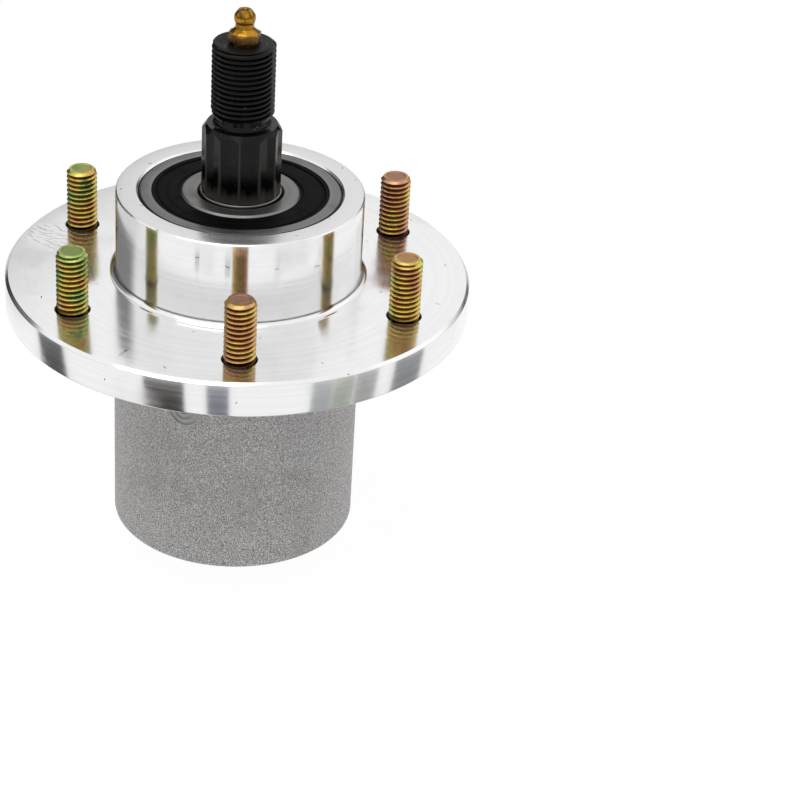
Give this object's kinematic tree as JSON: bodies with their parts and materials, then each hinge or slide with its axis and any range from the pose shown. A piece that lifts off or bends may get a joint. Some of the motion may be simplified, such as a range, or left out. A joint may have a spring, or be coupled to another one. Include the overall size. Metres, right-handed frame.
{
  "type": "mower deck spindle",
  "caption": "Mower deck spindle: flanged bearing housing with deck studs around a threaded star-splined shaft on sealed ball bearings, with a grease fitting on top.",
  "frame": {"origin": "centre of the stud circle, in the flange's top face on the shaft's axis", "axes": "+Z along the shaft towards the threaded end and its grease fitting, -Y through one stud"},
  "size_m": [0.1426, 0.1426, 0.1803],
  "materials": {
    "cast_aluminium": "machined bright on flange and boss, as cast on the barrel",
    "yellow_zinc": "yellow zinc plate",
    "black_oxide": "black oxide",
    "plain_steel": "turned, oiled",
    "ring_steel": "ground",
    "ball_steel": "polished",
    "cage_nylon": "moulded",
    "seal_rubber": "moulded, satin",
    "fitting_zinc": "yellow zinc plate",
    "spring_steel": "drawn"
  },
  "bodies": {
    "housing": {"housing": "cast_aluminium", "deck_studs": "yellow_zinc", "upper_outer_ring": "ring_steel", "upper_top_seal": "seal_rubber", "upper_bottom_seal": "seal_rubber", "lower_outer_ring": "ring_steel", "lower_top_seal": "seal_rubber", "lower_bottom_seal": "seal_rubber"},
    "rotor": {"shaft": "black_oxide", "bearing_spacer": "plain_steel", "upper_inner_ring": "ring_steel", "lower_inner_ring": "ring_steel", "grease_fitting_body": "fitting_zinc", "grease_check_spring": "spring_steel"},
    "upper_cage": {"upper_cage": "cage_nylon"},
    "upper_ball_1": {"upper_ball_1": "ball_steel"},
    "upper_ball_2": {"upper_ball_2": "ball_steel"},
    "upper_ball_3": {"upper_ball_3": "ball_steel"},
    "upper_ball_4": {"upper_ball_4": "ball_steel"},
    "upper_ball_5": {"upper_ball_5": "ball_steel"},
    "upper_ball_6": {"upper_ball_6": "ball_steel"},
    "upper_ball_7": {"upper_ball_7": "ball_steel"},
    "lower_cage": {"lower_cage": "cage_nylon"},
    "lower_ball_1": {"lower_ball_1": "ball_steel"},
    "lower_ball_2": {"lower_ball_2": "ball_steel"},
    "lower_ball_3": {"lower_ball_3": "ball_steel"},
    "lower_ball_4": {"lower_ball_4": "ball_steel"},
    "lower_ball_5": {"lower_ball_5": "ball_steel"},
    "lower_ball_6": {"lower_ball_6": "ball_steel"},
    "lower_ball_7": {"lower_ball_7": "ball_steel"},
    "check_ball": {"grease_check_ball": "ball_steel"}
  },
  "joints": [
    {"name": "shaft_spin", "type": "hinge", "parent": "housing", "child": "rotor", "pos_m": [0, 0, 0], "axis": [0, 0, 1], "continuous": true},
    {"name": "upper_cage_orbit", "type": "hinge", "parent": "housing", "child": "upper_cage", "pos_m": [0, 0, 0.0182], "axis": [0, 0, 1], "continuous": true},
    {"name": "upper_ball_1_roll", "type": "hinge", "parent": "upper_cage", "child": "upper_ball_1", "pos_m": [0, -0.02175, 0.0182], "axis": [0, 0, 1], "continuous": true},
    {"name": "upper_ball_2_roll", "type": "hinge", "parent": "upper_cage", "child": "upper_ball_2", "pos_m": [0.017, -0.01356, 0.0182], "axis": [0, 0, 1], "continuous": true},
    {"name": "upper_ball_3_roll", "type": "hinge", "parent": "upper_cage", "child": "upper_ball_3", "pos_m": [0.0212, 0.00484, 0.0182], "axis": [0, 0, 1], "continuous": true},
    {"name": "upper_ball_4_roll", "type": "hinge", "parent": "upper_cage", "child": "upper_ball_4", "pos_m": [0.00944, 0.0196, 0.0182], "axis": [0, 0, 1], "continuous": true},
    {"name": "upper_ball_5_roll", "type": "hinge", "parent": "upper_cage", "child": "upper_ball_5", "pos_m": [-0.00944, 0.0196, 0.0182], "axis": [0, 0, 1], "continuous": true},
    {"name": "upper_ball_6_roll", "type": "hinge", "parent": "upper_cage", "child": "upper_ball_6", "pos_m": [-0.0212, 0.00484, 0.0182], "axis": [0, 0, 1], "continuous": true},
    {"name": "upper_ball_7_roll", "type": "hinge", "parent": "upper_cage", "child": "upper_ball_7", "pos_m": [-0.017, -0.01356, 0.0182], "axis": [0, 0, 1], "continuous": true},
    {"name": "lower_cage_orbit", "type": "hinge", "parent": "housing", "child": "lower_cage", "pos_m": [0, 0, -0.0769], "axis": [0, 0, 1], "continuous": true},
    {"name": "lower_ball_1_roll", "type": "hinge", "parent": "lower_cage", "child": "lower_ball_1", "pos_m": [0, -0.02175, -0.0769], "axis": [0, 0, 1], "continuous": true},
    {"name": "lower_ball_2_roll", "type": "hinge", "parent": "lower_cage", "child": "lower_ball_2", "pos_m": [0.017, -0.01356, -0.0769], "axis": [0, 0, 1], "continuous": true},
    {"name": "lower_ball_3_roll", "type": "hinge", "parent": "lower_cage", "child": "lower_ball_3", "pos_m": [0.0212, 0.00484, -0.0769], "axis": [0, 0, 1], "continuous": true},
    {"name": "lower_ball_4_roll", "type": "hinge", "parent": "lower_cage", "child": "lower_ball_4", "pos_m": [0.00944, 0.0196, -0.0769], "axis": [0, 0, 1], "continuous": true},
    {"name": "lower_ball_5_roll", "type": "hinge", "parent": "lower_cage", "child": "lower_ball_5", "pos_m": [-0.00944, 0.0196, -0.0769], "axis": [0, 0, 1], "continuous": true},
    {"name": "lower_ball_6_roll", "type": "hinge", "parent": "lower_cage", "child": "lower_ball_6", "pos_m": [-0.0212, 0.00484, -0.0769], "axis": [0, 0, 1], "continuous": true},
    {"name": "lower_ball_7_roll", "type": "hinge", "parent": "lower_cage", "child": "lower_ball_7", "pos_m": [-0.017, -0.01356, -0.0769], "axis": [0, 0, 1], "continuous": true},
    {"name": "grease_valve", "type": "slide", "parent": "rotor", "child": "check_ball", "axis": [0, 0, -1], "range_m": [0, 0.0008], "stiffness_N_per_m": 150, "springref_m": -0.001, "deforming": ["grease_check_spring"]}
  ],
  "couplings": [
    {"joint": "upper_cage_orbit", "follows": "shaft_spin", "ratio": 0.36771},
    {"joint": "upper_ball_1_roll", "follows": "shaft_spin", "ratio": -1.7575},
    {"joint": "upper_ball_2_roll", "follows": "shaft_spin", "ratio": -1.7575},
    {"joint": "upper_ball_3_roll", "follows": "shaft_spin", "ratio": -1.7575},
    {"joint": "upper_ball_4_roll", "follows": "shaft_spin", "ratio": -1.7575},
    {"joint": "upper_ball_5_roll", "follows": "shaft_spin", "ratio": -1.7575},
    {"joint": "upper_ball_6_roll", "follows": "shaft_spin", "ratio": -1.7575},
    {"joint": "upper_ball_7_roll", "follows": "shaft_spin", "ratio": -1.7575},
    {"joint": "lower_cage_orbit", "follows": "shaft_spin", "ratio": 0.36771},
    {"joint": "lower_ball_1_roll", "follows": "shaft_spin", "ratio": -1.7575},
    {"joint": "lower_ball_2_roll", "follows": "shaft_spin", "ratio": -1.7575},
    {"joint": "lower_ball_3_roll", "follows": "shaft_spin", "ratio": -1.7575},
    {"joint": "lower_ball_4_roll", "follows": "shaft_spin", "ratio": -1.7575},
    {"joint": "lower_ball_5_roll", "follows": "shaft_spin", "ratio": -1.7575},
    {"joint": "lower_ball_6_roll", "follows": "shaft_spin", "ratio": -1.7575},
    {"joint": "lower_ball_7_roll", "follows": "shaft_spin", "ratio": -1.7575}
  ]
}
